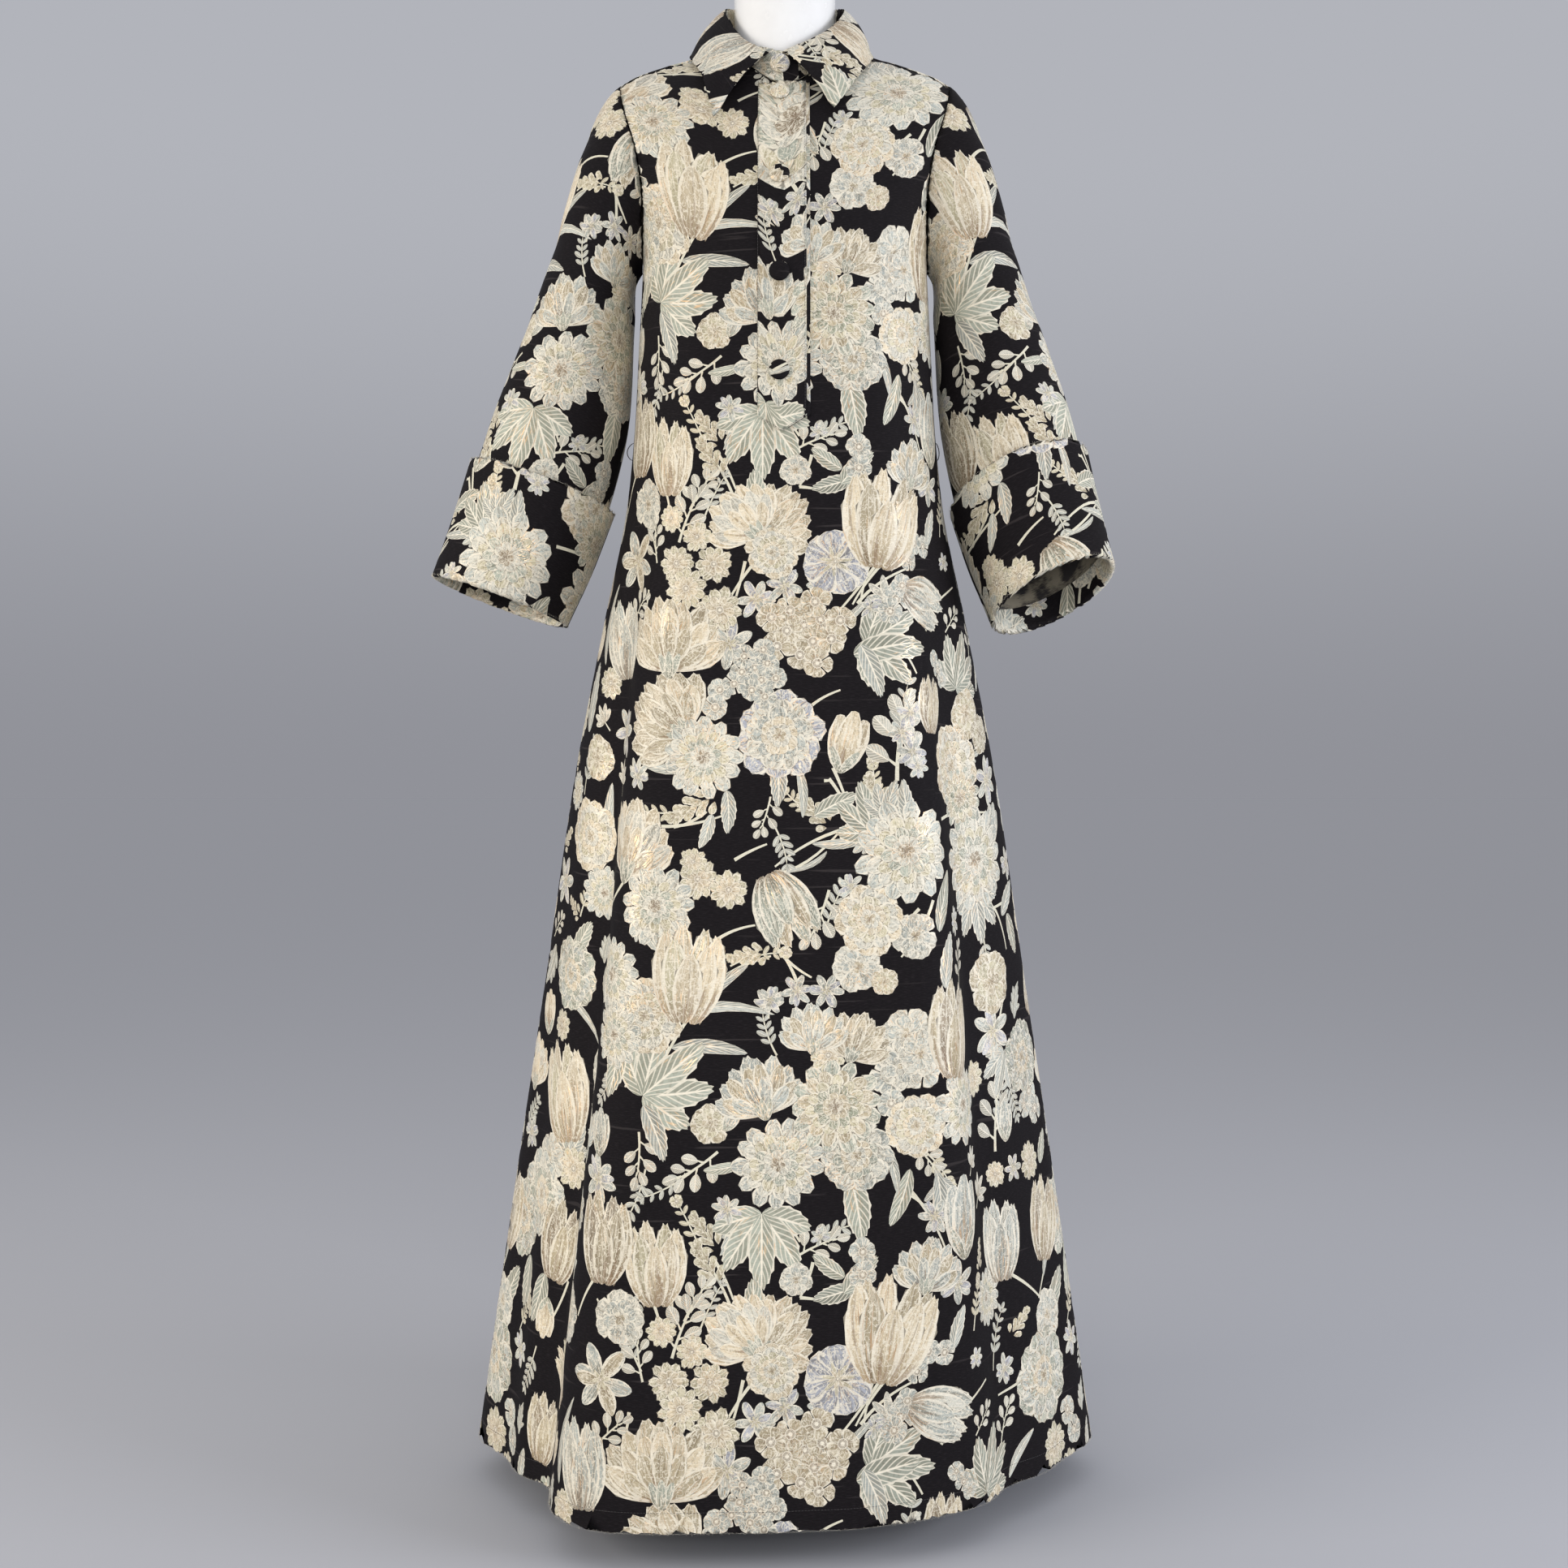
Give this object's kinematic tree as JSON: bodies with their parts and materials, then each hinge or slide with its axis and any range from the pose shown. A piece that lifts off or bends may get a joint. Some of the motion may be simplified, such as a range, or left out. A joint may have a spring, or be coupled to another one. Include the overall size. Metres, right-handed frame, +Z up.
{
  "type": "a-line dress on a dress form",
  "caption": "Floor-length A-line dress in floral brocade: shirt collar, half-button placket, flared three-quarter sleeves with deep cuffs, on a limbless form on a round stand.",
  "frame": {"origin": "on the floor, at the middle of the underside of the stand's base", "axes": "+Z up along the dress's height, -Y out of the dress's front, +X to the right as seen from the front; left and right in node names are as seen from the front"},
  "size_m": [0.7514, 0.5185, 1.73],
  "materials": {
    "brocade": "stiff jacquard brocade, cream and grey-green flowers on warm black, with a few copper glints",
    "thread": "twisted black thread",
    "gloss_white": "smooth glossy white lacquer",
    "brushed_steel": "fine brushed, satin"
  },
  "bodies": {
    "root": {"front": "brocade", "back": "brocade", "sleeve_left": "brocade", "sleeve_right": "brocade", "cuff_left": "brocade", "cuff_right": "brocade", "placket_over": "brocade", "placket_under": "brocade", "collar_stand": "brocade", "collar": "brocade", "button_1": "brocade", "button_2": "brocade", "button_3": "brocade", "button_4": "brocade", "button_collar": "brocade", "belt_loop_left": "thread", "belt_loop_right": "thread", "form_torso": "gloss_white", "stand_base": "brushed_steel", "stand_pole": "brushed_steel"}
  },
  "joints": []
}
